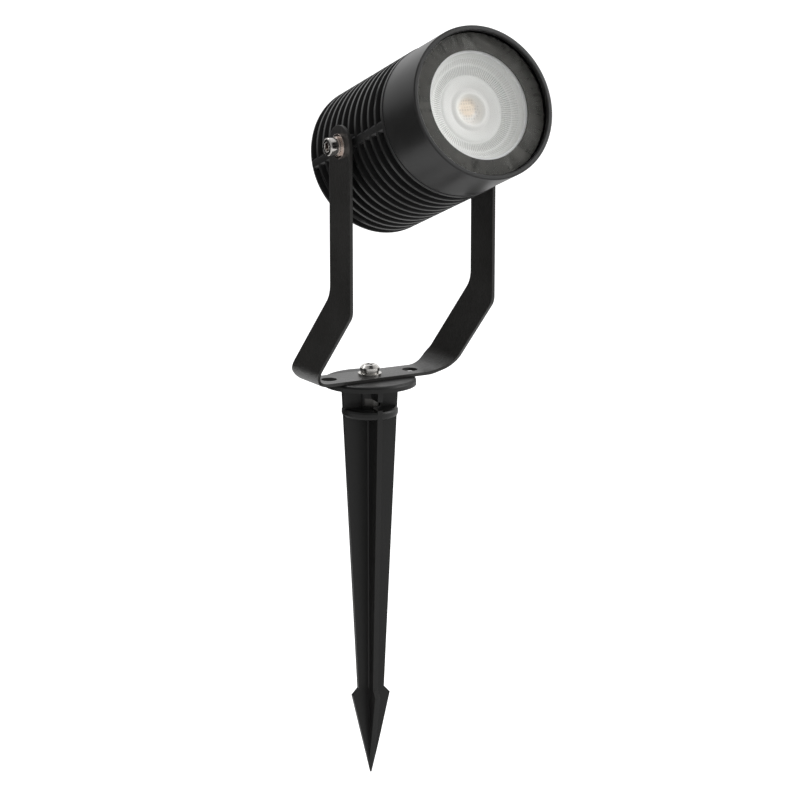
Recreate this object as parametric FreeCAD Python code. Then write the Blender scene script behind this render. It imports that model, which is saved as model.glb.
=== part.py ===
"""Garden spike spotlight: finned lamp head on a dog-leg U bracket, bolted to a ground spike.

Frame: millimetres, +Z up. The origin is on the spike's axis at soil level, which is the
underside of the spike's flange. The head looks towards -Y, its pivot axis runs along X.
"""
import FreeCAD
import Part
import math
import os

V = FreeCAD.Vector

# ---------------------------------------------------------------- driving dimensions
# ground spike
flange_radius = 22.0
flange_thickness = 3.1
flange_edge_round = 1.2
rib_thickness = 2.5
rib_reach_top = 14.0
rib_reach_bottom = 6.5
rib_core_radius = 2.1
shaft_length = 150.5
barb_drop = 3.4
barb_reach = 9.6
point_length = 40.3
tip_radius = 0.4
collar_drop = 10.8
collar_height = 4.2
collar_radius = 13.4
collar_edge_round = 1.3
neck_boss_radius = 5.2
spike_turn = -8.8

# U bracket, folded from steel strip
strip_width = 18.6
strip_thickness = 1.5
bend_radius = 11.45
leg_slant = 43.6
foot_drop = 0.4
pivot_forward = 39.9
pivot_height = 116.5
elbow_round_outer = 7.0
elbow_round_inner = 12.0
foot_round_outer = 6.0
foot_round_inner = 7.0
side_hole_radius = 3.75
side_hole_offset = 22.0

# head casting and its screw-on front cap, measured from the pivot along the head's axis
head_tilt = 21.2
seam_forward = 35.4
cap_length = 28.3
lamp_room = 2.0
neck_wall = 5.5
cap_wall = 1.5
fin_step = 0.3
rear_wall = 3.5
boss_radius = 6.0
boss_proud = 2.0
groove_pitch = 6.2
groove_mouth = 4.6
groove_root = 3.4
groove_depth = 4.0
front_fin = 1.7
rear_fin = 2.2
land_half_width = 1.4
land_ramp = 1.0
edge_round = 1.2
cap_edge_round = 0.5
rear_edge_round = 1.5
seam_chamfer = 0.35
lip_width = 2.2
lip_thickness = 2.0
lip_chamfer = 0.4

# front glass and what is clamped behind it
glass_thickness = 3.0
mask_overlap = 0.55
mask_thickness = 1.2
gasket_thickness = 1.5
gasket_width = 3.6
ring_section = 2.0
ring_setback = 1.2

# lamp with a two-pin twist-lock base
lamp_radius = 25.0
lamp_length = 46.5
lamp_rim_length = 6.0
lamp_waist_radius = 16.0
lamp_waist_at = 31.0
lamp_foot_radius = 13.4
lamp_foot_length = 6.5
lamp_wall = 1.6
lens_thickness = 2.6
board_radius = 11.0
board_thickness = 1.6
board_depth = 15.0
bowl_depth = 8.5
bowl_inset = 3.8
optic_inset = 5.5
optic_foot_radius = 9.5
optic_pocket_radius = 6.5
optic_pocket_depth = 2.4
chip_radius = 5.5
chip_height = 1.0
pin_spacing = 10.0
pin_radius = 1.6
pin_head_radius = 2.4
pin_length = 7.2
pin_head_length = 2.8
twist_angle = 18.0

# ceramic lamp holder and the plate that carries it
holder_radius = 16.5
holder_length = 20.0
holder_socket = 4.0
holder_lip = 2.2
holder_notch_width = 5.0
contact_thickness = 1.2
contact_gap = 0.2
holder_screw_offset = 10.2
plate_thickness = 1.2
plate_gap = 1.2
plate_width = 27.0
post_radius = 3.2
post_inset = 3.4

# wiring inside the head
wiring_room = 25.3
lead_radius = 1.1
lead_drop = 5.5
lead_bend = 3.5
terminal_width = 24.0
terminal_depth = 10.5
terminal_height = 11.0
terminal_pitch = 8.0
terminal_entry = 3.0
earth_offset = 17.0
earth_boss_radius = 4.0
earth_boss_height = 5.5
terminal_screw_radius = 1.6
lug_length = 8.8
lug_width = 4.4
lug_thickness = 0.8

# cable gland in the rear wall
gland_thread_radius = 8.0
gland_hex = 21.0
gland_hex_length = 5.0
gland_neck_radius = 7.6
gland_neck_length = 9.0
gland_nut_length = 16.0
gland_nut_top = 11.5
gland_nut_flats = 19.0
gland_seal_wall = 1.6
cable_radius = 3.7
locknut_length = 4.5
gland_gasket_thickness = 1.2

# fasteners
m5_radius = 2.5
m5_washer_radius = 5.6
m5_washer_thickness = 0.9
m5_spring_radius = 4.4
m5_spring_thickness = 1.2
m5_spring_gap = 0.8
m5_nut_flats = 8.0
m5_nut_height = 4.0
cap_screw_head_radius = 4.0
cap_screw_head = 4.2
cap_screw_edge = 0.5
cap_screw_socket = 4.0
cap_screw_socket_depth = 2.2
cap_screw_length = 10.0
pan_head_radius = 4.7
pan_head = 2.8
base_screw_length = 16.0
nut_depth = 9.3
m3_radius = 1.5
m3_head_radius = 2.75
m3_head = 2.0
m4_radius = 2.0
m4_head_radius = 3.8
m4_head = 2.6
post_screw_length = 8.0
recess_width = 1.1
screw_tail = 0.8

# clearances
fit = 0.1
slip = 0.25
running = 0.3
near = 0.01

# ---------------------------------------------------------------- derived places
flange_top = flange_thickness
plate_top = flange_top + strip_thickness
pivot_z = flange_top + pivot_height
bore_radius = lamp_radius + lamp_room
neck_radius = bore_radius + neck_wall
cap_bore = neck_radius + running
cap_radius = cap_bore + cap_wall
lip_radius = cap_radius - lip_width
head_radius = cap_radius + fin_step
mask_radius = lamp_radius - mask_overlap
bowl_radius = lamp_radius - bowl_inset
optic_mouth_radius = lamp_radius - optic_inset
plate_reach = bore_radius - plate_gap
post_offset = plate_reach - post_inset
boss_face = head_radius + boss_proud
arm_outer = boss_face + strip_thickness
cap_front = seam_forward + cap_length
glass_front = cap_front - lip_thickness
glass_back = glass_front - glass_thickness
mask_back = glass_back - mask_thickness
neck_end = mask_back - gasket_thickness
clamped_radius = neck_radius
lamp_face = mask_back - contact_gap
lamp_seat = lamp_face - lamp_length
holder_rim = lamp_seat + holder_socket
holder_back = holder_rim - holder_length
plate_back = holder_back - plate_thickness
rear_inside = plate_back - wiring_room
head_rear = rear_wall - rear_inside
grooved_length = head_rear + seam_forward - front_fin - rear_fin
groove_count = int((grooved_length + groove_pitch - groove_mouth) / groove_pitch)
pocket_floor = lamp_seat - pin_length - contact_gap - contact_thickness
terminal_top = rear_inside + terminal_height
terminal_y = -(math.sqrt(bore_radius ** 2 - (terminal_width / 2) ** 2) - running - terminal_depth / 2)
earth_seat = rear_inside + earth_boss_height
stub_seat = -head_rear - gland_gasket_thickness
nut_top = flange_top - nut_depth
nut_bottom = nut_top - m5_nut_height
pivot_spring_x = arm_outer + m5_washer_thickness
pivot_head_x = pivot_spring_x + m5_spring_thickness
pivot_hole_x = pivot_head_x - cap_screw_length - screw_tail


# ---------------------------------------------------------------- helpers
def save(node, shape):
    """Write one node, whose solids may be several pieces of the same kind."""
    shape.removeSplitter().exportStep("parts/" + node + ".step")


def rod(radius, low, high, x=0.0, y=0.0):
    """Round bar standing along Z from low to high."""
    return Part.makeCylinder(radius, high - low, V(x, y, low))


def tube(outer, inner, low, high, x=0.0, y=0.0):
    """Ring or sleeve along Z."""
    return rod(outer, low, high, x, y).cut(rod(inner, low - 1, high + 1, x, y))


def turned(profile):
    """Revolve a closed (radius, height) outline about Z."""
    points = [V(r, 0, z) for r, z in profile]
    face = Part.Face(Part.makePolygon(points + points[:1]))
    return face.revolve(V(0, 0, 0), V(0, 0, 1), 360)


def hexagon(flats, low, high, inner=0.0):
    """Hexagonal bar along Z with two flats facing -Y and +Y, bored when inner is given."""
    corner = flats / math.sqrt(3)
    points = [V(corner * math.cos(math.radians(60 * i)), corner * math.sin(math.radians(60 * i)), low)
              for i in range(7)]
    bar = Part.Face(Part.makePolygon(points)).extrude(V(0, 0, high - low))
    return bar.cut(rod(inner, low - 1, high + 1)) if inner else bar


def block(x, y, z, size_x, size_y, size_z):
    """Box centred on x and y, standing on z."""
    return Part.makeBox(size_x, size_y, size_z, V(x - size_x / 2, y - size_y / 2, z))


def plate(points, direction):
    """Flat outline pushed along a direction."""
    return Part.Face(Part.makePolygon(points + points[:1])).extrude(direction)


def edges_at(shape, test):
    """Edges whose every vertex passes a test on its position."""
    return [e for e in shape.Edges if e.Vertexes and all(test(v.Point) for v in e.Vertexes)]


def soft_disc(radius, low, high, below, above):
    """Disc along Z whose two rims are rounded in flat steps, each by its own amount."""
    step = 1 - math.cos(math.pi / 4)
    profile = [(0, low), (radius - below, low), (radius - below * step, low + below * step),
               (radius, low + below), (radius, high - above), (radius - above * step, high - above * step),
               (radius - above, high), (0, high)]
    kept = [point for point, after in zip(profile, profile[1:] + profile[:1]) if point != after]
    return turned(kept)


def lead(points, radius, bend):
    """Round lead along straight runs, with each corner cut off by one short run."""
    path = [points[0]]
    for before, corner, after in zip(points, points[1:], points[2:]):
        path.append(corner + (before - corner).normalize() * bend)
        path.append(corner + (after - corner).normalize() * bend)
    path.append(points[-1])
    ring = Part.makeCircle(radius, path[0], path[1] - path[0])
    return Part.makePolygon(path).makePipeShell([Part.Wire([ring])], True, False, 1)


def in_head(shape):
    """Carry a shape from the head's own frame (Z forward, Y up, pivot at the origin)."""
    placed = shape.copy()
    placed.rotate(V(0, 0, 0), V(1, 0, 0), 90 - head_tilt)
    placed.translate(V(0, -pivot_forward, pivot_z))
    return placed


def both_sides(shape):
    """The shape and its mirror image across X = 0."""
    return Part.makeCompound([shape, shape.mirror(V(0, 0, 0), V(1, 0, 0))])


def along_x(shape, x):
    """Turn a piece that stands along Z so that it points along +X and starts at x."""
    turned_piece = shape.copy()
    turned_piece.rotate(V(0, 0, 0), V(0, 1, 0), 90)
    turned_piece.translate(V(x, 0, 0))
    return turned_piece


# ---------------------------------------------------------------- ground spike
def spike_shape():
    """Flange, neck, collar and a cross of four ribs that ends in barbs and a point."""
    barb_z = -shaft_length - barb_drop
    tip_z = barb_z - point_length
    outline = [V(rib_reach_top, 0, 0), V(rib_reach_bottom, 0, -shaft_length), V(barb_reach, 0, barb_z),
               V(tip_radius, 0, tip_z), V(-tip_radius, 0, tip_z), V(-barb_reach, 0, barb_z),
               V(-rib_reach_bottom, 0, -shaft_length), V(-rib_reach_top, 0, 0)]
    blade = plate(outline, V(0, rib_thickness, 0))
    blade.translate(V(0, -rib_thickness / 2, 0))
    cross_blade = blade.copy()
    cross_blade.rotate(V(0, 0, 0), V(0, 0, 1), 90)
    core = rod(rib_core_radius, -shaft_length, 0)
    shaft = blade.fuse([cross_blade, core])
    taper = Part.makeCone(tip_radius, barb_reach, point_length, V(0, 0, tip_z))
    envelope = taper.fuse(rod(flange_radius, barb_z, flange_top))
    shaft = shaft.common(envelope)
    flange = soft_disc(flange_radius, 0, flange_top, 0, flange_edge_round)
    collar_z = -collar_drop - collar_height
    collar = soft_disc(collar_radius, collar_z, -collar_drop, collar_edge_round, collar_edge_round)
    boss = rod(neck_boss_radius, -collar_drop, 0)
    body = flange.fuse([shaft, collar, boss])
    body = body.cut(rod(m5_radius + slip, nut_bottom - m5_radius, flange_top + 1))
    pocket_width = m5_nut_flats / math.sqrt(3) * 2 + 2 * fit
    pocket = Part.makeBox(m5_nut_flats + 2 * fit, rib_reach_top + m5_nut_flats, m5_nut_height + 2 * fit)
    pocket.translate(V(-m5_nut_flats / 2 - fit, -rib_reach_top - m5_nut_flats + pocket_width / 2,
                       nut_bottom - fit))
    body = body.cut(pocket)
    body.rotate(V(0, 0, 0), V(0, 0, 1), spike_turn)
    return body


def make_spike():
    save("spike", spike_shape())
    nut = hexagon(m5_nut_flats, nut_bottom, nut_top, m5_radius + fit)
    nut.rotate(V(0, 0, 0), V(0, 0, 1), 30 + spike_turn)
    save("spike_nut", nut)


def washer(low, radius, thickness):
    return tube(radius, m5_radius + fit, low, low + thickness)


def spring_washer(low):
    """Split ring washer with a narrow gap."""
    ring = tube(m5_spring_radius, m5_radius + fit, low, low + m5_spring_thickness)
    gap = block(m5_spring_radius, 0, low - 1, 2 * m5_spring_radius, m5_spring_gap, m5_spring_thickness + 2)
    return ring.cut(gap)


def cross_recess(top, arm, depth):
    """Cross-shaped driver recess."""
    bar = block(0, 0, top - depth, 2 * arm, recess_width, depth + 1)
    return bar.fuse(block(0, 0, top - depth, recess_width, 2 * arm, depth + 1))


def pan_screw(seat, length, shank, head_reach, head_height):
    """Pan-head screw whose head sits on seat and whose shank hangs below it."""
    edge = head_height * 0.5
    return turned([(0, seat - length), (shank, seat - length), (shank, seat), (head_reach, seat),
                   (head_reach, seat + edge), (head_reach - edge, seat + head_height),
                   (0, seat + head_height)])


def make_base_fasteners():
    spring_z = plate_top + m5_washer_thickness
    screw_z = spring_z + m5_spring_thickness
    save("base_washer", washer(plate_top, m5_washer_radius, m5_washer_thickness))
    save("base_spring_washer", spring_washer(spring_z))
    screw = pan_screw(screw_z, base_screw_length, m5_radius, pan_head_radius, pan_head)
    save("base_screw", screw.cut(cross_recess(screw_z + pan_head, pan_head_radius * 0.5, pan_head * 0.6)))


# ---------------------------------------------------------------- bracket
neutral_radius = bend_radius - strip_thickness / 2
bend_start = arm_outer - bend_radius
bend_run = neutral_radius * math.pi / 2
foot_at = bend_start + bend_run / 2 - foot_drop
slant = math.radians(leg_slant)
elbow_at = foot_at + pivot_forward / math.tan(slant)
half_strip = strip_width / 2
bend_steps = 24
bend_span = 8 * strip_width


def strip_edge(run, side):
    """Y of one long edge of the unfolded strip, with its foot corner rounded.

    run is the distance from the middle of the strip along its unfolded length, and side is
    +1 for the rear edge and -1 for the front edge.
    """
    corner = foot_at + side * half_strip * math.tan(slant / 2)
    radius = foot_round_outer if side > 0 else foot_round_inner
    reach = radius * math.tan(slant / 2)
    straight = side * half_strip
    if run <= corner - reach:
        return straight
    if run >= corner + reach * math.cos(slant):
        return straight - (run - corner) * math.tan(slant)
    across = run - corner + reach
    return straight - (radius - math.sqrt(radius ** 2 - across ** 2))


def bend_cutter(side):
    """Solid beyond one edge of the strip inside the bend, pushed out along Y."""
    curves = []
    for radius in (bend_radius - 2 * strip_thickness, bend_radius + strip_thickness):
        points = []
        for step in range(bend_steps + 1):
            angle = math.pi / 2 * step / bend_steps
            y = strip_edge(bend_start + neutral_radius * angle, side)
            x = bend_start + radius * math.sin(angle)
            points.append(V(x, y, bend_radius - radius * math.cos(angle)))
        curve = Part.BSplineCurve()
        curve.interpolate(points)
        curves.append(curve.toShape())
    return Part.makeRuledSurface(curves[0], curves[1]).extrude(V(0, side * bend_span / 2, 0))


def bend_shape():
    """Quarter of a tube between the base and one arm, trimmed to the strip's edges."""
    centre = V(bend_start, -bend_span / 2, bend_radius)
    sector = Part.makeCylinder(bend_radius, bend_span, centre, V(0, 1, 0))
    hollow = Part.makeCylinder(bend_radius - strip_thickness, bend_span, centre, V(0, 1, 0))
    corner = Part.makeBox(bend_radius, bend_span, bend_radius, V(bend_start, -bend_span / 2, 0))
    quarter = sector.cut(hollow).common(corner)
    return quarter.cut(bend_cutter(1)).cut(bend_cutter(-1))


def arm_shape():
    """One arm from the top of the bend to the rounded end at the pivot."""
    inner = arm_outer - strip_thickness
    elbow_z = bend_radius + elbow_at - bend_start - bend_run
    shift = half_strip * math.tan(slant / 2)
    run_top = bend_start + bend_run
    front_low = V(inner, strip_edge(run_top, -1), bend_radius)
    rear_low = V(inner, strip_edge(run_top, 1), bend_radius)
    front_elbow = V(inner, -pivot_forward - half_strip, elbow_z - shift)
    rear_elbow = V(inner, -pivot_forward + half_strip, elbow_z + shift)
    front_top = V(inner, -pivot_forward - half_strip, pivot_height)
    rear_top = V(inner, -pivot_forward + half_strip, pivot_height)
    # the front edge turns outwards at the elbow and the rear edge turns inwards
    outline = [front_low, front_elbow, front_top, rear_top, rear_elbow, rear_low]
    arm = plate(outline, V(strip_thickness, 0, 0))
    for corner, radius in ((front_elbow, elbow_round_outer), (rear_elbow, elbow_round_inner)):
        bend_line = edges_at(arm, lambda p: math.hypot(p.y - corner.y, p.z - corner.z) < near)
        arm = arm.makeFillet(radius, bend_line)
    end = Part.makeCylinder(half_strip, strip_thickness, V(inner, -pivot_forward, pivot_height), V(1, 0, 0))
    hole = Part.makeCylinder(m5_radius + fit, 4 * strip_thickness,
                             V(inner - strip_thickness, -pivot_forward, pivot_height), V(1, 0, 0))
    return arm.fuse(end).cut(hole)


def make_bracket():
    base = block(0, 0, 0, 2 * bend_start, strip_width, strip_thickness)
    base = base.cut(rod(m5_radius + fit, -1, strip_thickness + 1))
    for x in (-side_hole_offset, side_hole_offset):
        base = base.cut(rod(side_hole_radius, -1, strip_thickness + 1, x))
    half = bend_shape().fuse(arm_shape())
    bracket = base.fuse([half, half.mirror(V(0, 0, 0), V(1, 0, 0))])
    bracket.translate(V(0, 0, flange_top))
    save("bracket", bracket)


# ---------------------------------------------------------------- head casting
def groove_rings():
    """Ring-shaped grooves, narrower at the root, that leave the cooling fins standing."""
    rings = []
    root_radius = head_radius - groove_depth
    inset = (groove_mouth - groove_root) / 2
    slope = inset / groove_depth
    for i in range(groove_count):
        high = seam_forward - front_fin - i * groove_pitch
        low = high - groove_mouth
        rings.append(turned([(root_radius, low + inset), (head_radius + 1, low - slope),
                             (head_radius + 1, high + slope), (root_radius, high - inset)]))
    return Part.makeCompound(rings)


def side_land():
    """Band along both sides, between the two halves of the grooves, with sloped flanks."""
    outer = head_radius + land_half_width
    ramp_x = head_radius - land_ramp
    ramp_y = land_half_width + land_ramp
    points = [V(-outer, 0, 0), V(-ramp_x, -ramp_y, 0), V(ramp_x, -ramp_y, 0), V(outer, 0, 0),
              V(ramp_x, ramp_y, 0), V(-ramp_x, ramp_y, 0)]
    length = head_rear + seam_forward
    return plate([p - V(0, 0, head_rear) for p in points], V(0, 0, length))


def make_housing():
    body = soft_disc(head_radius, -head_rear, seam_forward, rear_edge_round, seam_chamfer)
    corner = Part.makeBox(head_radius, head_radius, head_rear + seam_forward, V(0, 0, -head_rear))
    quarter = body.common(corner).cut(groove_rings().cut(side_land()))
    half = quarter.fuse(quarter.mirror(V(0, 0, 0), V(1, 0, 0)))
    other_half = half.copy()
    other_half.rotate(V(0, 0, 0), V(0, 0, 1), 180)
    body = half.fuse(other_half)
    boss = Part.makeCylinder(boss_radius, 2 * boss_face, V(-boss_face, 0, 0), V(1, 0, 0))
    neck = rod(neck_radius, seam_forward - 1, neck_end)
    body = body.fuse([boss, neck])
    body = body.cut(rod(bore_radius, rear_inside, neck_end + 1))
    groove_z = seam_forward + ring_setback
    groove_end = groove_z + ring_section + 2 * fit
    body = body.cut(tube(neck_radius + 1, neck_radius - ring_section, groove_z, groove_end))
    posts = []
    for x in (-post_offset, post_offset):
        post = rod(post_radius, rear_inside - 1, plate_back, x)
        posts.append(post.cut(rod(m3_radius, plate_back - post_screw_length, plate_back + 1, x)))
    earth_boss = rod(earth_boss_radius, rear_inside - 1, earth_seat, 0, earth_offset)
    body = body.fuse(posts + [earth_boss])
    body = body.cut(rod(m4_radius, rear_inside, earth_seat + 1, 0, earth_offset))
    body = body.cut(rod(gland_thread_radius + fit, -head_rear - 1, rear_inside + 1))
    screw_hole = along_x(rod(m5_radius + fit, 0, arm_outer - pivot_hole_x), pivot_hole_x)
    body = body.cut(both_sides(screw_hole))
    in_head(body).exportStep("parts/barrel_housing.step")


def make_cap():
    cap = soft_disc(cap_radius, seam_forward, cap_front, seam_chamfer, cap_edge_round)
    cap = cap.cut(rod(cap_bore, seam_forward - 1, glass_front))
    opening = turned([(0, seam_forward), (lip_radius, seam_forward), (lip_radius, cap_front - lip_chamfer),
                      (lip_radius + lip_chamfer, cap_front), (0, cap_front)])
    cap = cap.cut(opening)
    save("front_cap", in_head(cap))


def make_front_stack():
    glass = rod(clamped_radius, glass_back, glass_front)
    save("front_glass", in_head(glass))
    save("mask_ring", in_head(tube(lip_radius, mask_radius, mask_back, glass_back)))
    gasket = tube(clamped_radius, clamped_radius - gasket_width, neck_end, mask_back)
    save("glass_gasket", in_head(gasket))
    ring_z = seam_forward + ring_setback + fit
    seal = tube(neck_radius, neck_radius - ring_section + fit, ring_z, ring_z + ring_section)
    save("cap_seal", in_head(seal))


# ---------------------------------------------------------------- lamp
def make_lamp():
    neck_low = lamp_face - lamp_waist_at
    foot_low = lamp_seat
    foot_high = lamp_seat + lamp_foot_length
    cup = lamp_radius - lamp_wall
    board_z = lamp_face - board_depth
    body = turned([(0, foot_low), (lamp_foot_radius, foot_low), (lamp_foot_radius, foot_high),
                   (lamp_waist_radius, foot_high), (lamp_waist_radius, neck_low),
                   (lamp_radius, lamp_face - lamp_rim_length), (lamp_radius, lamp_face),
                   (cup, lamp_face), (cup, lamp_face - lens_thickness),
                   (cup - lamp_wall, lamp_face - lens_thickness), (bowl_radius, lamp_face - bowl_depth),
                   (board_radius + lamp_wall, board_z),
                   (0, board_z)])
    save("lamp_body", in_head(body))
    chip_z = board_z + board_thickness
    lens = turned([(0, chip_z + optic_pocket_depth), (optic_pocket_radius, chip_z + optic_pocket_depth),
                   (optic_pocket_radius, chip_z), (optic_foot_radius, chip_z),
                   (optic_mouth_radius, lamp_face - lens_thickness), (cup - fit, lamp_face - lens_thickness),
                   (cup - fit, lamp_face), (0, lamp_face)])
    save("lamp_lens", in_head(lens))
    save("led_board", in_head(rod(board_radius, board_z, chip_z)))
    save("led_chip", in_head(rod(chip_radius, chip_z, chip_z + chip_height)))
    pins = []
    for x in (-pin_spacing / 2, pin_spacing / 2):
        shank = rod(pin_radius, lamp_seat - pin_length, lamp_seat, x)
        head = rod(pin_head_radius, lamp_seat - pin_length, lamp_seat - pin_length + pin_head_length, x)
        pins.append(shank.fuse(head))
    save("lamp_pins", in_head(Part.makeCompound(pins)))


# ---------------------------------------------------------------- lamp holder
def arc_slot(radius, start, end, width, low, high):
    """Curved slot about the axis, from start to end in degrees, with round ends."""
    outer = radius + width / 2
    inner = radius - width / 2
    middle = (start + end) / 2
    cap = math.degrees(math.atan(width / 2 / radius))
    tip = radius / math.cos(math.radians(cap))

    def spot(distance, angle):
        return V(distance * math.cos(math.radians(angle)), distance * math.sin(math.radians(angle)), low)

    outline = [Part.Arc(spot(outer, start), spot(outer, middle), spot(outer, end)),
               Part.Arc(spot(outer, end), spot(tip, end + cap), spot(inner, end)),
               Part.Arc(spot(inner, end), spot(inner, middle), spot(inner, start)),
               Part.Arc(spot(inner, start), spot(tip, start - cap), spot(outer, start))]
    wire = Part.Wire([arc.toShape() for arc in outline])
    return Part.Face(wire).extrude(V(0, 0, high - low))


def key_slots():
    """Entry hole, narrow locking slot and the wide pocket behind it, for both pins."""
    radius = pin_spacing / 2
    wide = 2 * (pin_head_radius + running + fit)
    narrow = 2 * (pin_radius + running)
    ledge = lamp_seat - holder_lip
    cuts = []
    for turn in (0, 180):
        a = math.radians(turn + twist_angle)
        x = radius * math.cos(a)
        y = radius * math.sin(a)
        entry = rod(pin_head_radius + running, ledge - 1, lamp_seat + 1, x, y)
        slot = arc_slot(radius, turn, turn + twist_angle, narrow, ledge - 1, lamp_seat + 1)
        pocket = arc_slot(radius, turn, turn + twist_angle, wide, pocket_floor, ledge)
        cuts.append(pocket.fuse([slot, entry]))
    return cuts


def make_holder():
    body = soft_disc(holder_radius, holder_back, holder_rim, 0, edge_round)
    body = body.cut(rod(lamp_foot_radius + running, lamp_seat, holder_rim + 1))
    notch = block(0, holder_radius, lamp_seat, holder_notch_width, 2 * holder_socket, holder_socket + 1)
    body = body.cut(notch)
    for cut in key_slots():
        body = body.cut(cut)
    for x in (-pin_spacing / 2, pin_spacing / 2):
        body = body.cut(rod(lead_radius + slip, holder_back - 1, pocket_floor + 1, x))
    for y in (-holder_screw_offset, holder_screw_offset):
        body = body.cut(rod(m3_head_radius + fit, lamp_seat - m3_head - running, lamp_seat + 1, 0, y))
        body = body.cut(rod(m3_radius + fit, holder_back - 1, lamp_seat + 1, 0, y))
    save("lamp_holder", in_head(body))
    contacts = []
    width = 2 * (pin_head_radius + running)
    for turn in (0, 180):
        contacts.append(arc_slot(pin_spacing / 2, turn, turn + twist_angle, width, pocket_floor,
                                 pocket_floor + contact_thickness))
    save("holder_contacts", in_head(Part.makeCompound(contacts)))


def small_screw(x, y, seat, length):
    """M3 pan-head screw pointing backwards into the head."""
    screw = pan_screw(0, length, m3_radius - fit, m3_head_radius, m3_head)
    screw.translate(V(x, y, seat))
    return screw


def make_holder_plate():
    strip = rod(plate_reach, plate_back, holder_back)
    strip = strip.common(block(0, 0, plate_back, 2 * plate_reach, plate_width, plate_thickness))
    strip = strip.cut(rod(pin_spacing / 2 + 2 * lead_radius, plate_back - 1, holder_back + 1))
    seat = lamp_seat - m3_head - running
    screws = []
    for y in (-holder_screw_offset, holder_screw_offset):
        strip = strip.cut(rod(m3_radius, plate_back - 1, holder_back + 1, 0, y))
        screws.append(small_screw(0, y, seat, seat - plate_back + screw_tail))
    for x in (-post_offset, post_offset):
        strip = strip.cut(rod(m3_radius + fit, plate_back - 1, holder_back + 1, x))
        screws.append(small_screw(x, 0, holder_back, post_screw_length))
    save("holder_plate", in_head(strip))
    save("holder_screws", in_head(Part.makeCompound(screws)))


# ---------------------------------------------------------------- wiring
def make_wiring():
    block_body = block(0, terminal_y, rear_inside, terminal_width, terminal_depth, terminal_height)
    front = terminal_y + terminal_depth / 2
    screw_z = terminal_top - 3 * lead_radius
    screw_length = terminal_depth / 2 - lead_radius - slip - fit
    entry_end = terminal_top - 2 * terminal_entry
    screws = []
    for x in (-terminal_pitch, 0, terminal_pitch):
        entry = rod(lead_radius + slip, entry_end, terminal_top + 1, x, terminal_y)
        mouth = V(x, front, screw_z)
        bore = Part.makeCylinder(terminal_screw_radius + fit, terminal_depth / 2, mouth, V(0, -1, 0))
        block_body = block_body.cut(entry).cut(bore)
        screws.append(Part.makeCylinder(terminal_screw_radius, screw_length, mouth, V(0, -1, 0)))
    save("terminal_block", in_head(block_body))
    save("terminal_screws", in_head(Part.makeCompound(screws)))
    turn_z = plate_back - lead_drop
    bottom = terminal_top - terminal_entry
    for node, side in (("live_lead", -1), ("neutral_lead", 1)):
        x0 = side * pin_spacing / 2
        x1 = side * terminal_pitch
        points = [V(x0, 0, pocket_floor), V(x0, 0, turn_z), V(x1, terminal_y, turn_z),
                  V(x1, terminal_y, bottom)]
        save(node, in_head(lead(points, lead_radius, lead_bend)))
    lug_top = earth_seat + lug_thickness
    lug_reach = earth_offset - lug_length
    lug = rod(earth_boss_radius, earth_seat, lug_top, 0, earth_offset)
    lug = lug.fuse(block(0, earth_offset - lug_length / 2, earth_seat, lug_width, lug_length, lug_thickness))
    lug = lug.cut(rod(m4_radius + fit, earth_seat - 1, lug_top + 1, 0, earth_offset))
    save("earth_lug", in_head(lug))
    lead_z = lug_top + lead_radius
    points = [V(0, terminal_y, bottom), V(0, terminal_y, turn_z), V(0, -lead_bend, turn_z),
              V(0, lug_reach - 2 * lead_bend, lead_z), V(0, lug_reach + lead_bend, lead_z)]
    save("earth_lead", in_head(lead(points, lead_radius, 0.8 * lead_bend)))
    screw = pan_screw(0, earth_boss_height, m4_radius - fit, m4_head_radius, m4_head)
    screw.translate(V(0, earth_offset, lug_top))
    save("earth_screw", in_head(screw))


# ---------------------------------------------------------------- cable gland
def make_gland():
    hex_low = stub_seat - gland_hex_length
    neck_low = hex_low - gland_neck_length
    stub = rod(gland_thread_radius, stub_seat, rear_inside + locknut_length + 1)
    body = stub.fuse([hexagon(gland_hex, hex_low, stub_seat), rod(gland_neck_radius, neck_low, hex_low)])
    seal_radius = gland_neck_radius - gland_seal_wall
    body = body.cut(rod(seal_radius, neck_low - 1, hex_low + 1))
    body = body.cut(rod(cable_radius + 1, neck_low - 1, rear_inside + 2 * locknut_length))
    save("gland_body", in_head(body))
    save("gland_gasket", in_head(tube(gland_hex / 2, gland_thread_radius + fit, stub_seat, -head_rear)))
    locknut = hexagon(gland_hex, rear_inside, rear_inside + locknut_length, gland_thread_radius + fit)
    save("gland_locknut", in_head(locknut))
    seal = tube(seal_radius - fit, cable_radius, neck_low - 1, hex_low + 1)
    save("gland_seal", in_head(seal))
    nut_low = hex_low - gland_nut_length
    dome_low = nut_low + gland_nut_length - gland_nut_top
    grip = hexagon(gland_nut_flats, dome_low, hex_low - running)
    dome = Part.makeCone(gland_neck_radius, gland_nut_flats / 2, dome_low - nut_low, V(0, 0, nut_low))
    nut = grip.fuse(dome)
    nut = nut.cut(rod(gland_neck_radius + fit, neck_low - 1, hex_low))
    nut = nut.cut(rod(cable_radius + running, nut_low - 1, hex_low))
    save("gland_nut", in_head(nut))


# ---------------------------------------------------------------- pivot fasteners
def make_pivot_fasteners():
    flat = along_x(washer(0, m5_washer_radius, m5_washer_thickness), arm_outer)
    save("pivot_washers", in_head(both_sides(flat)))
    save("pivot_spring_washers", in_head(both_sides(along_x(spring_washer(0), pivot_spring_x))))
    head = soft_disc(cap_screw_head_radius, 0, cap_screw_head, 0, cap_screw_edge)
    head = head.cut(hexagon(cap_screw_socket, cap_screw_head - cap_screw_socket_depth, cap_screw_head + 1))
    screw = head.fuse(rod(m5_radius, -cap_screw_length, 0))
    save("pivot_screws", in_head(both_sides(along_x(screw, pivot_head_x))))


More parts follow.
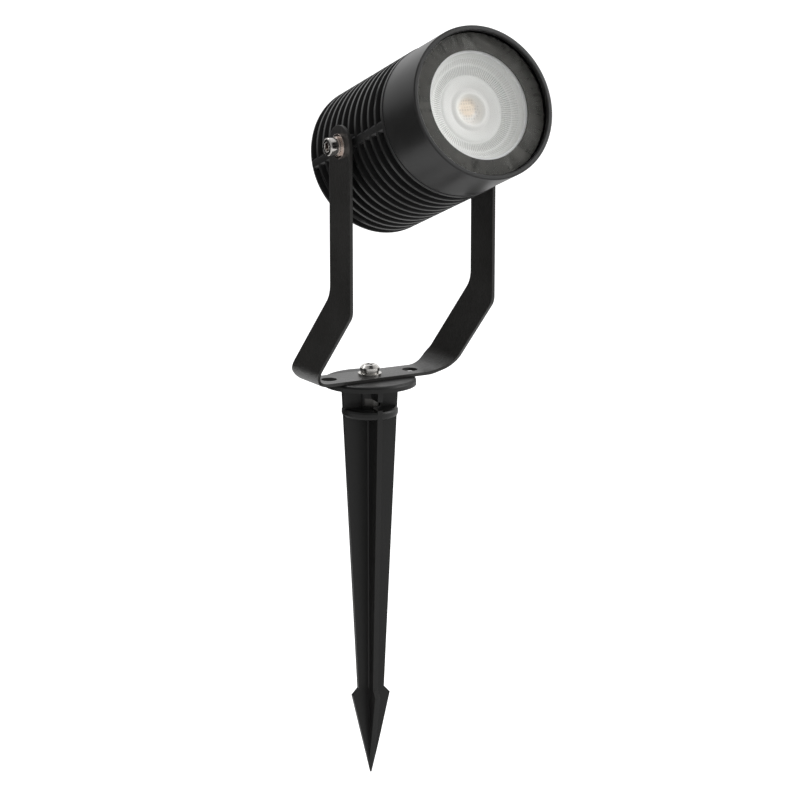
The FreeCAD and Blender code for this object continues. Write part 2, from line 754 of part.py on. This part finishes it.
os.makedirs("parts", exist_ok=True)
make_spike()
make_base_fasteners()
make_bracket()
make_housing()
make_cap()
make_front_stack()
make_lamp()
make_holder()
make_holder_plate()
make_wiring()
make_gland()
make_pivot_fasteners()
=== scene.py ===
"""Looks for the garden spike spotlight: camera, studio, procedural materials and the lamp's lens.

Lengths are metres in the solids' own frame. The lens is laid out in millimetres in the head's
frame (x along the pivot, y up, z forward from the pivot) and carried over by head_piece.
"""
import bpy
import bmesh
import math
from mathutils import Matrix, Vector


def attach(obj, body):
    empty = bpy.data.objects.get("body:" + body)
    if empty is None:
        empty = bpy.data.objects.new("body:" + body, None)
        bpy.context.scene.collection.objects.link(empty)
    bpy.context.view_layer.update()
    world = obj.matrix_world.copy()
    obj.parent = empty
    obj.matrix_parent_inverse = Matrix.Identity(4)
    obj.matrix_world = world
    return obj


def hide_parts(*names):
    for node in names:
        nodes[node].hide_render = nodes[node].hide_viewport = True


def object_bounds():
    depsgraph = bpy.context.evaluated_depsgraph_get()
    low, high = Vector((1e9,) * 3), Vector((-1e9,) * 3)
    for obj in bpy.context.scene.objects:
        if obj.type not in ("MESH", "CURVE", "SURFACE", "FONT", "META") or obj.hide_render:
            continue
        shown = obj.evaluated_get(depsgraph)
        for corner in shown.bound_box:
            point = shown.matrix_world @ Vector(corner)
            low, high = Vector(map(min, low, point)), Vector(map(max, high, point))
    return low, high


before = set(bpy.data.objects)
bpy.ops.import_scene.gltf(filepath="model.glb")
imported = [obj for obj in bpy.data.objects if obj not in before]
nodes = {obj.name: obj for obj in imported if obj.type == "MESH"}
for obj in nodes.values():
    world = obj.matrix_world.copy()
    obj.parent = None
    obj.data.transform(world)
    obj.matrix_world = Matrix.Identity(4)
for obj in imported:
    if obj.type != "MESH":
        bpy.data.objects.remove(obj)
cad_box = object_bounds()

# head's frame
MM = 0.001
TILT = math.radians(21.2)
PIVOT = Vector((0.0, -0.0399, 0.1196))
HEAD_UP = Vector((0.0, math.sin(TILT), math.cos(TILT)))
HEAD_FORWARD = Vector((0.0, -math.cos(TILT), math.sin(TILT)))

# lamp and glass, millimetres in the head's frame
LAMP_FACE = 57.3
LENS_REACH = 25.0
PLEATS = 120
STEPS_PER_PLEAT = 6
CELLS_REACH = 5.2
CELLS_PER_MM = 0.78
CHIP_HEIGHT = 1.3
CHIP_REACH = 6.0
GLASS_CLEAR = 31.9

# materials: turning marks in radians per metre, a socket's soft edge in metres, and fixed colours
TURNING_MARKS = 6000.0
SOCKET_EDGE = 0.0002
# painted shade for the bottom of a screw's socket
SOCKET_SHADE_DARK = (0.045, 0.028, 0.024, 1.0)
# painted shade on the rim of the front glass
RIM_SHADE_BLACK = (0.004, 0.004, 0.004, 1.0)
WHITE = (1.0, 1.0, 1.0, 1.0)
EDGE_SAMPLES = 6

# camera: straight back from the flange's top, then moved right and down a little
CAMERA_AZIMUTH = math.radians(30.514)
CAMERA_ELEVATION = math.radians(12.933)
CAMERA_DISTANCE = 1.22967
CAMERA_RIGHT = 0.01428
CAMERA_DOWN = 0.0107
FLANGE_TOP = 0.0031
FOCAL_PIXELS = 2604.0
PICTURE_PIXELS = 800.0
SENSOR_WIDTH = 36.0

# studio: each light's name, place, target, size in metres and power in watts
LIGHTS = (
    ("key", (1.25, -0.75, 0.85), (0, -0.08, 0.13), (1.0, 1.0), 10.0),
    ("top", (-0.2, 0.9, 1.2), (0, -0.05, 0.1), (0.9, 0.5), 4.0),
)
FLOOR_GAP = 0.0004
FLOOR_REACH = 6.0
FLOOR_GLOW = 0.75
FLOOR_GLOW_MIRRORED = 0.05

# sockets of a colour Mix node
MIX_FACTOR, MIX_A, MIX_B, MIX_RESULT = 0, 6, 7, 2


def frame_matrix(axes, origin, scale=1.0):
    """Matrix that carries a frame with these three axes, scaled, to origin."""
    m = Matrix.Identity(4)
    for column, axis in enumerate(axes):
        for row in range(3):
            m[row][column] = axis[row] * scale
    m.translation = origin
    return m


def place_object(name, data):
    obj = bpy.data.objects.new(name, data)
    bpy.context.scene.collection.objects.link(obj)
    return obj


# ------------------------------------------------------------------ camera
def make_camera():
    level = math.cos(CAMERA_ELEVATION)
    back = Vector((-math.sin(CAMERA_AZIMUTH) * level, -math.cos(CAMERA_AZIMUTH) * level,
                   math.sin(CAMERA_ELEVATION)))
    right = Vector((math.cos(CAMERA_AZIMUTH), -math.sin(CAMERA_AZIMUTH), 0.0))
    up = back.cross(right)
    place = back * CAMERA_DISTANCE + right * CAMERA_RIGHT - up * CAMERA_DOWN + Vector((0, 0, FLANGE_TOP))
    data = bpy.data.cameras.new("camera")
    data.sensor_width = SENSOR_WIDTH
    data.lens = FOCAL_PIXELS / PICTURE_PIXELS * SENSOR_WIDTH
    data.clip_start = 0.05
    data.clip_end = 50.0
    cam = place_object("camera", data)
    cam.matrix_world = frame_matrix((right, up, back), place)
    bpy.context.scene.camera = cam


# ------------------------------------------------------------------ node helpers
def set_values(node, **values):
    """Set a node's sockets by name; an underscore stands for a space."""
    for name, value in values.items():
        node.inputs[name.replace("_", " ")].default_value = value


class Nodes:
    """Short calls to build one node tree."""

    def __init__(self, tree):
        self.tree = tree
        tree.nodes.clear()

    def add(self, kind, **settings):
        node = self.tree.nodes.new(kind)
        for key, value in settings.items():
            setattr(node, key, value)
        return node

    def link(self, source, target):
        self.tree.links.new(source, target)

    def feed(self, node, **sources):
        """Link a node's sockets by name; an underscore stands for a space."""
        for name, source in sources.items():
            self.link(source, node.inputs[name.replace("_", " ")])

    def math(self, operation, *operands):
        node = self.add("ShaderNodeMath", operation=operation)
        for socket, value in zip(node.inputs, operands):
            if isinstance(value, (int, float)):
                socket.default_value = value
            else:
                self.link(value, socket)
        return node.outputs[0]

    def split(self, vector):
        node = self.add("ShaderNodeSeparateXYZ")
        self.link(vector, node.inputs[0])
        return node.outputs

    def length(self, a, b):
        return self.math("SQRT", self.math("ADD", self.math("MULTIPLY", a, a), self.math("MULTIPLY", b, b)))

    def position(self, scale=(1, 1, 1), origin=(0, 0, 0)):
        """Row-frame position of the surface at rest, in metres, moved to origin and scaled."""
        coords = self.add("ShaderNodeTexCoord")
        mapping = self.add("ShaderNodeMapping")
        set_values(mapping, Location=[-o * s for o, s in zip(origin, scale)], Scale=scale)
        self.feed(mapping, Vector=coords.outputs["Object"])
        return mapping.outputs[0]

    def noise(self, vector, scale, detail=3.0, rough=0.55):
        node = self.add("ShaderNodeTexNoise")
        set_values(node, Scale=scale, Detail=detail, Roughness=rough)
        self.feed(node, Vector=vector)
        return node.outputs["Fac"]

    def ramp(self, factor, stops):
        """Colour ramp through (position, colour or grey level) stops."""
        node = self.add("ShaderNodeValToRGB")
        elements = node.color_ramp.elements
        while len(elements) < len(stops):
            elements.new(0.5)
        for element, (at, value) in zip(elements, stops):
            element.position = at
            element.color = (*value, 1.0) if isinstance(value, tuple) else (value, value, value, 1.0)
        self.feed(node, Fac=factor)
        return node.outputs["Color"]

    def multiply(self, a, b):
        node = self.add("ShaderNodeMix", data_type="RGBA", blend_type="MULTIPLY")
        node.inputs[MIX_FACTOR].default_value = 1.0
        self.link(a, node.inputs[MIX_A])
        self.link(b, node.inputs[MIX_B])
        return node.outputs[MIX_RESULT]

    def mix_shaders(self, factor, first, second):
        node = self.add("ShaderNodeMixShader")
        for socket, source in zip(node.inputs, (factor, first, second)):
            self.link(source, socket)
        return node.outputs[0]

    def spread(self, factor, low, high, start=0.0, end=1.0):
        """Factor's stretch from start to end, mapped to low..high."""
        node = self.add("ShaderNodeMapRange")
        set_values(node, From_Min=start, From_Max=end, To_Min=low, To_Max=high)
        self.feed(node, Value=factor)
        return node.outputs["Result"]

    def bump(self, height, strength, distance, edge=0.0):
        """Bumped normal; with an edge radius in metres, sharp edges also catch the light as rounded ones."""
        node = self.add("ShaderNodeBump")
        set_values(node, Strength=strength, Distance=distance)
        self.feed(node, Height=height)
        if edge:
            rounding = self.add("ShaderNodeBevel", samples=EDGE_SAMPLES)
            set_values(rounding, Radius=edge)
            self.feed(node, Normal=rounding.outputs["Normal"])
        return node.outputs["Normal"]

    def rays(self):
        """Light Path outputs, and 1 for what the camera sees straight on or through glass."""
        path = self.add("ShaderNodeLightPath").outputs
        return path, self.math("MAXIMUM", path["Is Camera Ray"], path["Is Transmission Ray"])


def from_head_axis(n):
    """Position at rest in millimetres from the pivot: the vector, x, height in the head's frame, radius."""
    place = n.position([1.0 / MM] * 3, tuple(PIVOT))
    across, y, z = n.split(place)
    up = n.math("ADD", n.math("MULTIPLY", y, math.sin(TILT)), n.math("MULTIPLY", z, math.cos(TILT)))
    return place, across, up, n.length(across, up)


def new_material(name):
    """Principled material: it, its node tree, the shader and the output."""
    mat = bpy.data.materials.new(name)
    mat.use_nodes = True
    n = Nodes(mat.node_tree)
    shader = n.add("ShaderNodeBsdfPrincipled")
    output = n.add("ShaderNodeOutputMaterial")
    n.feed(output, Surface=shader.outputs[0])
    return mat, n, shader, output


# ------------------------------------------------------------------ materials
def powder_coat(name, low, high, rough_low, rough_high, level, strength, grain=2600.0, edge=0.0004,
                depth=0.00006):
    """Satin powder coat: slow change of sheen and, where strength isn't 0, fine orange peel."""
    mat, n, shader, _ = new_material(name)
    place = n.position()
    slow = n.noise(place, 45.0, 2.0)
    fine = n.noise(place, grain, 2.0, 0.6)
    tone = n.math("ADD", n.math("MULTIPLY", fine, 0.6), n.math("MULTIPLY", slow, 0.4))
    n.feed(shader, Base_Color=n.ramp(tone, [(0.3, low), (0.7, high)]),
           Roughness=n.spread(slow, rough_low, rough_high, 0.3, 0.7))
    if strength:
        peel = n.noise(place, grain * 0.35, 1.0)
        height = n.math("ADD", fine, n.math("MULTIPLY", peel, 0.8))
        n.feed(shader, Normal=n.bump(height, strength, depth, edge))
    set_values(shader, Specular_IOR_Level=level)
    return mat


def moulded(name, low, high, rough_low, rough_high, level, scale=(1, 1, 1), grain=1500.0, edge=0.0):
    """Moulded plastic with faint flow marks along scale's short way and a fine grain."""
    mat, n, shader, _ = new_material(name)
    place = n.position(scale)
    flow = n.noise(place, 120.0, 4.0, 0.6)
    fine = n.noise(n.position(), grain, 2.0)
    height = n.math("ADD", n.math("MULTIPLY", flow, 0.5), fine)
    n.feed(shader, Base_Color=n.ramp(flow, [(0.3, low), (0.72, high)]),
           Roughness=n.spread(flow, rough_low, rough_high, 0.3, 0.7), Normal=n.bump(height, 0.2, 0.00005, edge))
    set_values(shader, Specular_IOR_Level=level)
    return mat


def turned_metal(name, low, high, rough_low, rough_high, centre, axis, socket=0.0, edge=0.00025):
    """Bright metal with turning marks in rings about an axis ("X" or "Z") through centre.

    Within the socket's radius the colour is painted dark: painted shade at the bottom of the socket.
    """
    mat, n, shader, _ = new_material(name)
    place = n.position(origin=centre)
    x, y, z = n.split(place)
    radius = n.length(y, z) if axis == "X" else n.length(x, y)
    marks = n.math("SINE", n.math("MULTIPLY", radius, TURNING_MARKS))
    stain = n.noise(place, 220.0, 2.0)
    color = n.ramp(stain, [(0.3, low), (0.65, high)])
    # painted shade: inside the socket's radius the metal is painted dark
    if socket:
        mix = n.add("ShaderNodeMix", data_type="RGBA")
        n.link(n.spread(radius, 0.0, 1.0, socket, socket + SOCKET_EDGE), mix.inputs[MIX_FACTOR])
        mix.inputs[MIX_A].default_value = SOCKET_SHADE_DARK
        n.link(color, mix.inputs[MIX_B])
        color = mix.outputs[MIX_RESULT]
    n.feed(shader, Base_Color=color, Roughness=n.spread(stain, rough_low, rough_high, 0.35, 0.65),
           Normal=n.bump(marks, 0.12, 0.00001, edge))
    set_values(shader, Metallic=1.0)
    return mat


def plain_metal(name, low, high, rough_low, rough_high):
    """Plated or rolled metal with a soft cloudy finish."""
    mat, n, shader, _ = new_material(name)
    place = n.position()
    cloud = n.noise(place, 300.0, 4.0)
    fine = n.noise(place, 3500.0, 2.0)
    n.feed(shader, Base_Color=n.ramp(cloud, [(0.3, low), (0.7, high)]),
           Roughness=n.spread(cloud, rough_low, rough_high, 0.3, 0.7), Normal=n.bump(fine, 0.2, 0.00003))
    set_values(shader, Metallic=1.0)
    return mat


def clear_glass():
    """Bloomed float glass whose rim is painted black as painted shade of the cap's lip: it bends what is behind
    it and lets the studio's light in.
    """
    mat, n, shader, output = new_material("front_glass_clear")
    set_values(shader, Transmission_Weight=1.0, IOR=1.5, Roughness=0.0, Specular_Tint=(0, 0, 0, 1))
    dust = n.noise(n.position(), 260.0, 4.0)
    tint = n.ramp(dust, [(0.4, (0.985, 0.995, 0.99)), (0.8, (0.965, 0.972, 0.968))])
    face = n.add("ShaderNodeNewGeometry")
    n.feed(shader, Base_Color=tint, Normal=face.outputs["True Normal"])
    clear = n.add("ShaderNodeBsdfTransparent")
    path = n.add("ShaderNodeLightPath").outputs
    lit = n.math("MAXIMUM", path["Is Shadow Ray"], path["Is Diffuse Ray"])
    pane = n.mix_shaders(lit, shader.outputs[0], clear.outputs[0])
    # painted shade: beyond the clear radius the glass is painted black for the shaded inner wall of the cap's
    # lip
    dark = n.add("ShaderNodeBsdfDiffuse")
    set_values(dark, Color=RIM_SHADE_BLACK)
    _, _, _, radius = from_head_axis(n)
    beyond = n.math("GREATER_THAN", radius, GLASS_CLEAR)
    n.feed(output, Surface=n.mix_shaders(beyond, pane, dark.outputs[0]))
    return mat


def paint(mat, *names):
    """Give CAD nodes a material on every slot."""
    for name in names:
        slots = nodes[name].material_slots
        if not slots:
            nodes[name].data.materials.append(mat)
        for slot in slots:
            slot.material = mat


def paint_cad():
    """The solids' materials: colour and roughness from low to high, then the specular level of coats
    and plastics, or the centre and axis of turned metal.
    """
    paint(powder_coat("black_powder_coat", 0.014, 0.02, 0.3, 0.36, 0.5, strength=0.15, edge=0.0003),
          "barrel_housing", "front_cap")
    paint(powder_coat("bracket_coat", (0.021, 0.0203, 0.0192), (0.031, 0.03, 0.0285), 0.28, 0.35, 0.5,
                      grain=1300.0, strength=0.7, depth=0.00016), "bracket")
    paint(moulded("spike_plastic", (0.006, 0.006, 0.0058), (0.013, 0.013, 0.0124), 0.36, 0.48, 0.45,
                  scale=(1, 1, 0.12), edge=0.0002), "spike")
    paint(turned_metal("pivot_steel", (0.7, 0.67, 0.64), (0.85, 0.82, 0.79), 0.08, 0.18, tuple(PIVOT), "X",
                       socket=0.0018, edge=0.0006), "pivot_screws")
    paint(turned_metal("washer_steel", (0.62, 0.52, 0.47), (0.8, 0.72, 0.67), 0.12, 0.26, tuple(PIVOT), "X"),
          "pivot_washers", "pivot_spring_washers")
    paint(turned_metal("base_steel", (0.6, 0.58, 0.55), (0.8, 0.78, 0.75), 0.12, 0.24, (0, 0, 0), "Z"),
          "base_screw", "base_washer", "base_spring_washer")
    paint(turned_metal("nut_steel", (0.07, 0.068, 0.065), (0.13, 0.127, 0.122), 0.3, 0.42, (0, 0, 0), "Z"),
          "spike_nut")
    paint(plain_metal("zinc_plate", (0.5, 0.51, 0.52), (0.66, 0.67, 0.69), 0.3, 0.42),
          "holder_plate", "holder_screws", "earth_lug", "terminal_screws")
    paint(moulded("black_rubber", 0.012, 0.02, 0.6, 0.75, 0.3, grain=900.0),
          "cap_seal", "glass_gasket", "gland_gasket", "gland_seal")
    paint(moulded("black_nylon", 0.014, 0.024, 0.38, 0.5, 0.45), "gland_body", "gland_nut", "gland_locknut")
    paint(clear_glass(), "front_glass")
    paint(powder_coat("mask_coat", (0.088, 0.086, 0.078), (0.096, 0.094, 0.086), 0.5, 0.58, 0.4,
                      grain=300.0, strength=0.0), "mask_ring")
    paint(moulded("white_shell", 0.72, 0.8, 0.32, 0.42, 0.5), "lamp_body")
    paint(moulded("board_lacquer", 0.76, 0.82, 0.35, 0.45, 0.5), "led_board")
    paint(moulded("phosphor", (0.82, 0.56, 0.16), (0.9, 0.66, 0.24), 0.45, 0.6, 0.4, grain=4000.0), "led_chip")
    paint(plain_metal("nickel", (0.66, 0.64, 0.6), (0.76, 0.74, 0.7), 0.14, 0.24), "lamp_pins")
    paint(plain_metal("bare_brass", (0.62, 0.42, 0.16), (0.74, 0.52, 0.24), 0.24, 0.36),
          "holder_contacts", "earth_screw")
    paint(moulded("ceramic", (0.74, 0.72, 0.68), (0.82, 0.81, 0.78), 0.5, 0.62, 0.4, grain=2500.0),
          "lamp_holder")
    paint(moulded("white_nylon", 0.7, 0.76, 0.4, 0.5, 0.45), "terminal_block")
    paint(moulded("brown_insulation", (0.07, 0.03, 0.014), (0.1, 0.045, 0.02), 0.35, 0.45, 0.5), "live_lead")
    paint(moulded("blue_insulation", (0.015, 0.06, 0.3), (0.025, 0.085, 0.38), 0.35, 0.45, 0.5), "neutral_lead")
    paint(moulded("green_insulation", (0.06, 0.3, 0.03), (0.09, 0.4, 0.05), 0.35, 0.45, 0.5), "earth_lead")


# ------------------------------------------------------------------ mesh helpers
def mesh_object(name, bm, mat):
    mesh = bpy.data.meshes.new(name)
    bm.to_mesh(mesh)
    bm.free()
    mesh.materials.append(mat)
    return place_object(name, mesh)


def head_piece(name, bm, mat, body):
    """Smooth piece laid out in the head's frame, which moves with a body of the frame."""
    bm.transform(frame_matrix((Vector((1, 0, 0)), HEAD_UP, HEAD_FORWARD), PIVOT, MM))
    bmesh.ops.recalc_face_normals(bm, faces=bm.faces)
    for face in bm.faces:
        face.smooth = True
    obj = mesh_object(name, bm, mat)
    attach(obj, body)
    return obj


def pleated_bowl(rings, steps):
    """Closed sheet through rings of (radius, z, height of the pleats) about Z."""
    bm = bmesh.new()
    rows = []
    for radius, z, ripple in rings:
        row = []
        for step in range(steps):
            angle = 2 * math.pi * step / steps
            height = z + ripple * math.cos(PLEATS * angle)
            row.append(bm.verts.new((radius * math.cos(angle), radius * math.sin(angle), height)))
        rows.append(row)
    for low, high in zip(rows, rows[1:]):
        for step in range(steps):
            following = (step + 1) % steps
            bm.faces.new((low[step], low[following], high[following], high[step]))
    bm.faces.new(rows[-1])
    return bm


# ------------------------------------------------------------------ lamp front
def lens_material():
    """Milky moulded plastic: painted shade in the pleats' valleys, and a warm honeycomb over the chip."""
    mat, n, shader, _ = new_material("lens_plastic")
    place, across, up, radius = from_head_axis(n)
    reach = n.math("DIVIDE", radius, LENS_REACH)
    tone = n.ramp(reach, [
        (0.0, (0.97, 0.93, 0.88)), (0.19, (0.97, 0.94, 0.9)), (0.27, (0.93, 0.92, 0.89)),
        (0.34, (0.79, 0.78, 0.76)), (0.6, (0.79, 0.79, 0.77)), (0.64, (0.88, 0.88, 0.86)),
        (0.8, (0.84, 0.84, 0.82)), (1.0, (0.66, 0.66, 0.64))])
    chip = n.length(across, n.math("SUBTRACT", up, CHIP_HEIGHT))
    warm = n.ramp(n.math("DIVIDE", chip, CHIP_REACH), [
        (0.0, (1.0, 0.9, 0.79)), (0.5, (1.0, 0.91, 0.81)), (0.8, (1.0, 1.0, 1.0)), (1.0, (1.0, 1.0, 1.0))])
    # painted shade: the pleats' valleys are painted darker within the pleated zones
    wave = n.math("COSINE", n.math("MULTIPLY", n.math("ARCTAN2", up, across), float(PLEATS)))
    valley = n.math("POWER", n.spread(wave, 1.0, 0.0, -1.0, 1.0), 2.0)
    zone = n.ramp(reach, [
        (0.605, 0.0), (0.62, 0.3), (0.765, 0.3), (0.775, 0.0), (0.79, 0.2), (0.87, 0.16), (0.9, 0.0)])
    valley_shade_and_cells = n.math("SUBTRACT", 1.0, n.math("MULTIPLY", valley, zone))
    # the honeycomb's cells, a moulded pattern, are darker in their middles than at their edges
    cells = n.add("ShaderNodeTexVoronoi", feature="DISTANCE_TO_EDGE")
    set_values(cells, Scale=CELLS_PER_MM, Randomness=0.1)
    n.feed(cells, Vector=place)
    inside = n.spread(radius, 1.0, 0.0, CELLS_REACH, CELLS_REACH + 0.6)
    pads = n.math("MULTIPLY", n.math("MINIMUM", cells.outputs["Distance"], 0.25), inside)
    valley_shade_and_cells = n.math("MULTIPLY", valley_shade_and_cells, n.spread(pads, 1.0, 0.84, 0.05, 0.25))
    cloud = n.noise(place, 0.35, 2.0)
    n.feed(shader, Base_Color=n.multiply(n.multiply(tone, warm), valley_shade_and_cells),
           Roughness=n.spread(cloud, 0.32, 0.42, 0.3, 0.7), Normal=n.bump(pads, 0.25, 0.0012))
    set_values(shader, Specular_IOR_Level=0.35)
    return mat


def make_lens():
    """Pleated bowl with a bead, a smooth ring and a raised rim round the sunk centre.

    Each ring is (radius, height over the lamp's face, height of the pleats).
    """
    outer_pleats = [
        (24.6, 0.0, 0), (24.2, -0.1, 0), (23.9, -0.6, 0), (23.4, -1.3, 0), (22.9, -1.8, 0), (22.5, -2.1, 0.04),
        (22.0, -2.6, 0.14), (21.2, -3.3, 0.16), (20.3, -4.1, 0.16), (19.8, -4.7, 0.03), (19.5, -4.65, 0)]
    inner_pleats = [
        (19.2, -5.0, 0.05), (18.6, -5.3, 0.22), (17.4, -5.65, 0.24), (16.2, -5.95, 0.24), (15.5, -6.15, 0.12)]
    smooth_ring = [
        (15.0, -6.45, 0), (14.6, -6.2, 0), (13.4, -6.2, 0), (12.0, -6.35, 0), (10.8, -6.55, 0),
        (10.0, -6.72, 0), (9.6, -6.85, 0), (9.2, -6.75, 0)]
    rim_and_centre = [
        (8.6, -6.55, 0), (8.0, -6.35, 0), (7.5, -6.25, 0), (7.1, -6.3, 0), (6.7, -6.6, 0), (6.1, -7.4, 0),
        (5.4, -8.35, 0), (4.8, -9.0, 0), (4.2, -9.25, 0), (3.2, -9.1, 0), (1.8, -8.9, 0), (0.4, -8.8, 0)]
    rings = [(radius, LAMP_FACE + z, ripple)
             for radius, z, ripple in outer_pleats + inner_pleats + smooth_ring + rim_and_centre]
    bm = pleated_bowl(rings, PLEATS * STEPS_PER_PLEAT)
    lens = head_piece("lamp_front_optic", bm, lens_material(), "lamp")
    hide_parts("lamp_lens")


# ------------------------------------------------------------------ studio
def area_light(name, place, target, size, power):
    data = bpy.data.lights.new(name, "AREA")
    data.shape = "RECTANGLE"
    data.size, data.size_y = size
    data.energy = power
    obj = place_object(name, data)
    obj.location = place
    obj.rotation_euler = (Vector(target) - Vector(place)).to_track_quat("-Z", "Y").to_euler()


def make_world():
    """White to the camera and through glass, soft studio walls to everything else.

    Height is 0 straight down, 0.5 level and 1 straight up. Diffuse rays meet the room and glossy
    rays the walls, which are darker to the left and the front.
    """
    world = bpy.data.worlds.new("studio")
    world.use_nodes = True
    bpy.context.scene.world = world
    n = Nodes(world.node_tree)
    output = n.add("ShaderNodeOutputWorld")
    x, y, z = n.split(n.add("ShaderNodeTexCoord").outputs["Generated"])
    height = n.spread(z, 0.0, 1.0, -1.0, 1.0)
    room = n.add("ShaderNodeBackground")
    around = n.spread(n.ramp(height, [(0.45, 0.3), (0.54, 0.74), (0.7, 0.74), (0.9, 0.66)]), 0.0, 1.0)
    n.feed(room, Color=n.math("MULTIPLY", around, n.spread(x, 0.76, 1.3, -0.6, 0.6)))
    walls = n.add("ShaderNodeBackground")
    wall = n.spread(n.ramp(height, [(0.46, 0.25), (0.54, 0.9), (0.62, 1.0), (0.75, 0.8), (0.9, 0.6)]), 0.0, 1.0)
    side = n.spread(x, 0.45, 1.0, -0.45, 0.2)
    front = n.spread(y, 0.5, 1.0, -0.6, 0.1)
    n.feed(walls, Color=n.math("MULTIPLY", wall, n.math("MULTIPLY", side, front)))
    white = n.add("ShaderNodeBackground")
    set_values(white, Color=WHITE)
    path, seen = n.rays()
    mirrored = n.mix_shaders(path["Is Glossy Ray"], room.outputs[0], walls.outputs[0])
    n.feed(output, Surface=n.mix_shaders(seen, mirrored, white.outputs[0]))


def floor_material():
    """Pale floor that keeps the soft shadow and glows for the camera, so that it ends up white."""
    mat, n, shader, output = new_material("floor_pale")
    grain = n.noise(n.position(), 6.0, 3.0)
    n.feed(shader, Base_Color=n.ramp(grain, [(0.3, 0.66), (0.7, 0.69)]))
    set_values(shader, Roughness=0.9, Specular_IOR_Level=0.1)
    glow = n.add("ShaderNodeEmission")
    set_values(glow, Color=WHITE)
    path, seen = n.rays()
    mirrored = n.math("MULTIPLY", path["Is Glossy Ray"], FLOOR_GLOW_MIRRORED)
    n.feed(glow, Strength=n.math("ADD", n.math("MULTIPLY", seen, FLOOR_GLOW), mirrored))
    both = n.add("ShaderNodeAddShader")
    n.link(shader.outputs[0], both.inputs[0])
    n.link(glow.outputs[0], both.inputs[1])
    n.feed(output, Surface=both.outputs[0])
    return mat


def make_floor():
    """Square floor just under the spike's point."""
    bm = bmesh.new()
    low = cad_box[0][2] - FLOOR_GAP
    corners = ((-1, -1), (1, -1), (1, 1), (-1, 1))
    bm.faces.new([bm.verts.new((x * FLOOR_REACH, y * FLOOR_REACH, low)) for x, y in corners])
    floor = mesh_object("floor", bm, floor_material())


def make_flag():
    """Dark panel behind the left side, seen only in reflections: it keeps the black coat deep there.

    It stands on the floor, folded along its middle, with a high left leaf and a low right leaf.
    """
    mat, n, shader, _ = new_material("flag_black")
    n.feed(shader, Base_Color=n.ramp(n.noise(n.position(), 8.0, 2.0), [(0.3, 0.015), (0.7, 0.02)]))
    set_values(shader, Roughness=0.9, Specular_IOR_Level=0.0)
    bm = bmesh.new()
    low = cad_box[0][2]
    corners = [(-0.4, 0.2, low), (-0.13, 0.42, low), (0.08, 0.5, low), (0.08, 0.5, -0.03),
               (-0.13, 0.42, 0.0), (-0.13, 0.42, 0.12), (-0.4, 0.2, 0.12)]
    left, fold, right, right_top, fold_right_top, fold_left_top, left_top = [bm.verts.new(v) for v in corners]
    bm.faces.new((left, fold, fold_right_top, fold_left_top, left_top))
    bm.faces.new((fold, right, right_top, fold_right_top))
    flag = mesh_object("flag", bm, mat)
    flag.visible_camera = False
    flag.visible_diffuse = False
    flag.visible_shadow = False
    flag.visible_transmission = False


def make_studio():
    make_world()
    make_floor()
    make_flag()
    for light in LIGHTS:
        area_light(*light)


make_camera()
bpy.context.scene.view_settings.view_transform = "Standard"
make_studio()
paint_cad()
make_lens()
